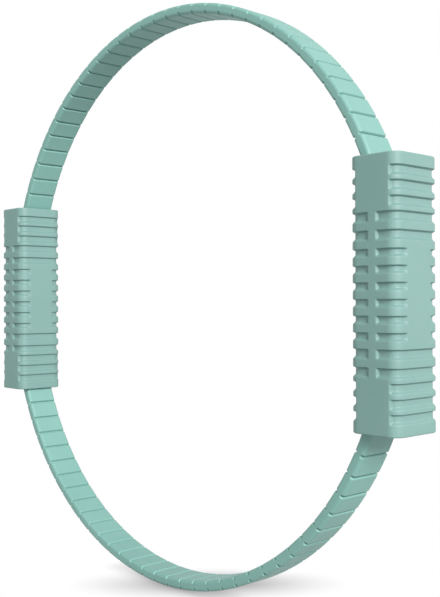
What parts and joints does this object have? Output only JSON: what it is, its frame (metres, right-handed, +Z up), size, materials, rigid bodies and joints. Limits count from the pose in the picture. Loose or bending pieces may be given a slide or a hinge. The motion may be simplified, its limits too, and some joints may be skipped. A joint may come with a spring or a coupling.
{
  "type": "pilates ring",
  "caption": "Springy pilates ring: a grooved, rubber-covered hoop with a ribbed grip on each side, squeezed between hands or legs and sprung back by steel strips.",
  "frame": {"origin": "centre of the hoop, on its axis, at mid width", "axes": "+X from the left grip to the right grip, +Y along the hoop's axis away from the pictured side, +Z up as the ring stands in the picture"},
  "size_m": [0.3768, 0.0356, 0.3626],
  "materials": {
    "grip_rubber": "matte",
    "band_rubber": "matte",
    "clamp_nylon": "matte",
    "spring_steel": "satin",
    "fastener_steel": "satin"
  },
  "bodies": {
    "left_grip": {"left_grip_sleeve": "grip_rubber", "left_clamp_inner": "clamp_nylon", "left_clamp_outer": "clamp_nylon", "left_clamp_screws": "fastener_steel", "left_clamp_nuts": "fastener_steel", "left_band_ends": "band_rubber"},
    "right_grip": {"right_grip_sleeve": "grip_rubber", "right_clamp_inner": "clamp_nylon", "right_clamp_outer": "clamp_nylon", "right_clamp_screws": "fastener_steel", "right_clamp_nuts": "fastener_steel", "right_band_ends": "band_rubber"},
    "upper_stretch_01": {"upper_band_01": "band_rubber"},
    "upper_stretch_02": {"upper_band_02": "band_rubber"},
    "upper_stretch_03": {"upper_band_03": "band_rubber"},
    "upper_stretch_04": {"upper_band_04": "band_rubber"},
    "upper_stretch_05": {"upper_band_05": "band_rubber"},
    "upper_stretch_06": {"upper_band_06": "band_rubber"},
    "upper_stretch_07": {"upper_band_07": "band_rubber"},
    "upper_stretch_08": {"upper_band_08": "band_rubber", "upper_spring_strip": "spring_steel"},
    "upper_stretch_09": {"upper_band_09": "band_rubber"},
    "upper_stretch_10": {"upper_band_10": "band_rubber"},
    "upper_stretch_11": {"upper_band_11": "band_rubber"},
    "upper_stretch_12": {"upper_band_12": "band_rubber"},
    "upper_stretch_13": {"upper_band_13": "band_rubber"},
    "upper_stretch_14": {"upper_band_14": "band_rubber"},
    "upper_stretch_15": {"upper_band_15": "band_rubber"},
    "lower_stretch_01": {"lower_band_01": "band_rubber"},
    "lower_stretch_02": {"lower_band_02": "band_rubber"},
    "lower_stretch_03": {"lower_band_03": "band_rubber"},
    "lower_stretch_04": {"lower_band_04": "band_rubber"},
    "lower_stretch_05": {"lower_band_05": "band_rubber"},
    "lower_stretch_06": {"lower_band_06": "band_rubber"},
    "lower_stretch_07": {"lower_band_07": "band_rubber"},
    "lower_stretch_08": {"lower_band_08": "band_rubber", "lower_spring_strip": "spring_steel"},
    "lower_stretch_09": {"lower_band_09": "band_rubber"},
    "lower_stretch_10": {"lower_band_10": "band_rubber"},
    "lower_stretch_11": {"lower_band_11": "band_rubber"},
    "lower_stretch_12": {"lower_band_12": "band_rubber"},
    "lower_stretch_13": {"lower_band_13": "band_rubber"},
    "lower_stretch_14": {"lower_band_14": "band_rubber"},
    "lower_stretch_15": {"lower_band_15": "band_rubber"}
  },
  "joints": [
    {"name": "squeeze", "type": "slide", "parent": "lower_stretch_08", "child": "right_grip", "axis": [-0.6659, 0, 0.746], "range_m": [-0.0075, 0.0375], "stiffness_N_per_m": 3130, "deforming": ["upper_spring_strip", "lower_spring_strip"]},
    {"name": "left_grip_shift", "type": "slide", "parent": "lower_stretch_08", "child": "left_grip", "axis": [0.6659, 0, 0.746], "range_m": [-0.00885, 0.03885]},
    {"name": "upper_flex_01", "type": "hinge", "parent": "left_grip", "child": "upper_stretch_01", "pos_m": [-0.15884, 0, 0.08034], "axis": [0, -1, 0], "range_deg": [-2.03, 8.91]},
    {"name": "upper_flex_02", "type": "hinge", "parent": "left_grip", "child": "upper_stretch_02", "pos_m": [-0.15435, 0, 0.08868], "axis": [0, -1, 0], "range_deg": [-3.28, 14.4]},
    {"name": "upper_flex_03", "type": "hinge", "parent": "left_grip", "child": "upper_stretch_03", "pos_m": [-0.15108, 0, 0.09388], "axis": [0, -1, 0], "range_deg": [-3.87, 17]},
    {"name": "upper_flex_04", "type": "hinge", "parent": "left_grip", "child": "upper_stretch_04", "pos_m": [-0.15093, 0, 0.0939], "axis": [0, -1, 0], "range_deg": [-3.89, 17.07]},
    {"name": "upper_flex_05", "type": "hinge", "parent": "left_grip", "child": "upper_stretch_05", "pos_m": [-0.15811, 0, 0.08485], "axis": [0, -1, 0], "range_deg": [-3.43, 15.05]},
    {"name": "upper_flex_06", "type": "hinge", "parent": "left_grip", "child": "upper_stretch_06", "pos_m": [-0.18417, 0, 0.05652], "axis": [0, -1, 0], "range_deg": [-2.6, 11.42]},
    {"name": "upper_flex_07", "type": "hinge", "parent": "left_grip", "child": "upper_stretch_07", "pos_m": [-0.27979, 0, -0.03585], "axis": [0, -1, 0], "range_deg": [-1.51, 6.61]},
    {"name": "upper_flex_08", "type": "slide", "parent": "left_grip", "child": "upper_stretch_08", "axis": [-0.6659, 0, 0.746], "range_m": [-0.00885, 0.03885]},
    {"name": "upper_flex_09", "type": "hinge", "parent": "right_grip", "child": "upper_stretch_09", "pos_m": [0.27979, 0, -0.03585], "axis": [0, 1, 0], "range_deg": [-1.51, 6.61]},
    {"name": "upper_flex_10", "type": "hinge", "parent": "right_grip", "child": "upper_stretch_10", "pos_m": [0.18417, 0, 0.05652], "axis": [0, 1, 0], "range_deg": [-2.6, 11.42]},
    {"name": "upper_flex_11", "type": "hinge", "parent": "right_grip", "child": "upper_stretch_11", "pos_m": [0.15811, 0, 0.08485], "axis": [0, 1, 0], "range_deg": [-3.43, 15.05]},
    {"name": "upper_flex_12", "type": "hinge", "parent": "right_grip", "child": "upper_stretch_12", "pos_m": [0.15093, 0, 0.0939], "axis": [0, 1, 0], "range_deg": [-3.89, 17.07]},
    {"name": "upper_flex_13", "type": "hinge", "parent": "right_grip", "child": "upper_stretch_13", "pos_m": [0.15108, 0, 0.09388], "axis": [0, 1, 0], "range_deg": [-3.87, 17]},
    {"name": "upper_flex_14", "type": "hinge", "parent": "right_grip", "child": "upper_stretch_14", "pos_m": [0.15435, 0, 0.08868], "axis": [0, 1, 0], "range_deg": [-3.28, 14.4]},
    {"name": "upper_flex_15", "type": "hinge", "parent": "right_grip", "child": "upper_stretch_15", "pos_m": [0.15884, 0, 0.08034], "axis": [0, 1, 0], "range_deg": [-2.03, 8.91]},
    {"name": "lower_flex_01", "type": "hinge", "parent": "left_grip", "child": "lower_stretch_01", "pos_m": [-0.15884, 0, -0.08034], "axis": [0, 1, 0], "range_deg": [-2.03, 8.91]},
    {"name": "lower_flex_02", "type": "hinge", "parent": "left_grip", "child": "lower_stretch_02", "pos_m": [-0.15435, 0, -0.08868], "axis": [0, 1, 0], "range_deg": [-3.28, 14.4]},
    {"name": "lower_flex_03", "type": "hinge", "parent": "left_grip", "child": "lower_stretch_03", "pos_m": [-0.15108, 0, -0.09388], "axis": [0, 1, 0], "range_deg": [-3.87, 17]},
    {"name": "lower_flex_04", "type": "hinge", "parent": "left_grip", "child": "lower_stretch_04", "pos_m": [-0.15093, 0, -0.0939], "axis": [0, 1, 0], "range_deg": [-3.89, 17.07]},
    {"name": "lower_flex_05", "type": "hinge", "parent": "left_grip", "child": "lower_stretch_05", "pos_m": [-0.15811, 0, -0.08485], "axis": [0, 1, 0], "range_deg": [-3.43, 15.05]},
    {"name": "lower_flex_06", "type": "hinge", "parent": "left_grip", "child": "lower_stretch_06", "pos_m": [-0.18417, 0, -0.05652], "axis": [0, 1, 0], "range_deg": [-2.6, 11.42]},
    {"name": "lower_flex_07", "type": "hinge", "parent": "left_grip", "child": "lower_stretch_07", "pos_m": [-0.27979, 0, 0.03585], "axis": [0, 1, 0], "range_deg": [-1.51, 6.61]},
    {"name": "lower_flex_09", "type": "hinge", "parent": "right_grip", "child": "lower_stretch_09", "pos_m": [0.27979, 0, 0.03585], "axis": [0, -1, 0], "range_deg": [-1.51, 6.61]},
    {"name": "lower_flex_10", "type": "hinge", "parent": "right_grip", "child": "lower_stretch_10", "pos_m": [0.18417, 0, -0.05652], "axis": [0, -1, 0], "range_deg": [-2.6, 11.42]},
    {"name": "lower_flex_11", "type": "hinge", "parent": "right_grip", "child": "lower_stretch_11", "pos_m": [0.15811, 0, -0.08485], "axis": [0, -1, 0], "range_deg": [-3.43, 15.05]},
    {"name": "lower_flex_12", "type": "hinge", "parent": "right_grip", "child": "lower_stretch_12", "pos_m": [0.15093, 0, -0.0939], "axis": [0, -1, 0], "range_deg": [-3.89, 17.07]},
    {"name": "lower_flex_13", "type": "hinge", "parent": "right_grip", "child": "lower_stretch_13", "pos_m": [0.15108, 0, -0.09388], "axis": [0, -1, 0], "range_deg": [-3.87, 17]},
    {"name": "lower_flex_14", "type": "hinge", "parent": "right_grip", "child": "lower_stretch_14", "pos_m": [0.15435, 0, -0.08868], "axis": [0, -1, 0], "range_deg": [-3.28, 14.4]},
    {"name": "lower_flex_15", "type": "hinge", "parent": "right_grip", "child": "lower_stretch_15", "pos_m": [0.15884, 0, -0.08034], "axis": [0, -1, 0], "range_deg": [-2.03, 8.91]}
  ],
  "couplings": [
    {"joint": "left_grip_shift", "follows": "squeeze", "ratio": 1},
    {"joint": "upper_flex_01", "follows": "squeeze", "rad_per_m": 4.001},
    {"joint": "upper_flex_02", "follows": "squeeze", "rad_per_m": 6.4671},
    {"joint": "upper_flex_03", "follows": "squeeze", "rad_per_m": 7.6373},
    {"joint": "upper_flex_04", "follows": "squeeze", "rad_per_m": 7.6699},
    {"joint": "upper_flex_05", "follows": "squeeze", "rad_per_m": 6.762},
    {"joint": "upper_flex_06", "follows": "squeeze", "rad_per_m": 5.1308},
    {"joint": "upper_flex_07", "follows": "squeeze", "rad_per_m": 2.9685},
    {"joint": "upper_flex_08", "follows": "squeeze", "ratio": 1},
    {"joint": "upper_flex_09", "follows": "squeeze", "rad_per_m": 2.9685},
    {"joint": "upper_flex_10", "follows": "squeeze", "rad_per_m": 5.1308},
    {"joint": "upper_flex_11", "follows": "squeeze", "rad_per_m": 6.762},
    {"joint": "upper_flex_12", "follows": "squeeze", "rad_per_m": 7.6699},
    {"joint": "upper_flex_13", "follows": "squeeze", "rad_per_m": 7.6373},
    {"joint": "upper_flex_14", "follows": "squeeze", "rad_per_m": 6.4671},
    {"joint": "upper_flex_15", "follows": "squeeze", "rad_per_m": 4.001},
    {"joint": "lower_flex_01", "follows": "squeeze", "rad_per_m": 4.001},
    {"joint": "lower_flex_02", "follows": "squeeze", "rad_per_m": 6.4671},
    {"joint": "lower_flex_03", "follows": "squeeze", "rad_per_m": 7.6373},
    {"joint": "lower_flex_04", "follows": "squeeze", "rad_per_m": 7.6699},
    {"joint": "lower_flex_05", "follows": "squeeze", "rad_per_m": 6.762},
    {"joint": "lower_flex_06", "follows": "squeeze", "rad_per_m": 5.1308},
    {"joint": "lower_flex_07", "follows": "squeeze", "rad_per_m": 2.9685},
    {"joint": "lower_flex_09", "follows": "squeeze", "rad_per_m": 2.9685},
    {"joint": "lower_flex_10", "follows": "squeeze", "rad_per_m": 5.1308},
    {"joint": "lower_flex_11", "follows": "squeeze", "rad_per_m": 6.762},
    {"joint": "lower_flex_12", "follows": "squeeze", "rad_per_m": 7.6699},
    {"joint": "lower_flex_13", "follows": "squeeze", "rad_per_m": 7.6373},
    {"joint": "lower_flex_14", "follows": "squeeze", "rad_per_m": 6.4671},
    {"joint": "lower_flex_15", "follows": "squeeze", "rad_per_m": 4.001}
  ]
}
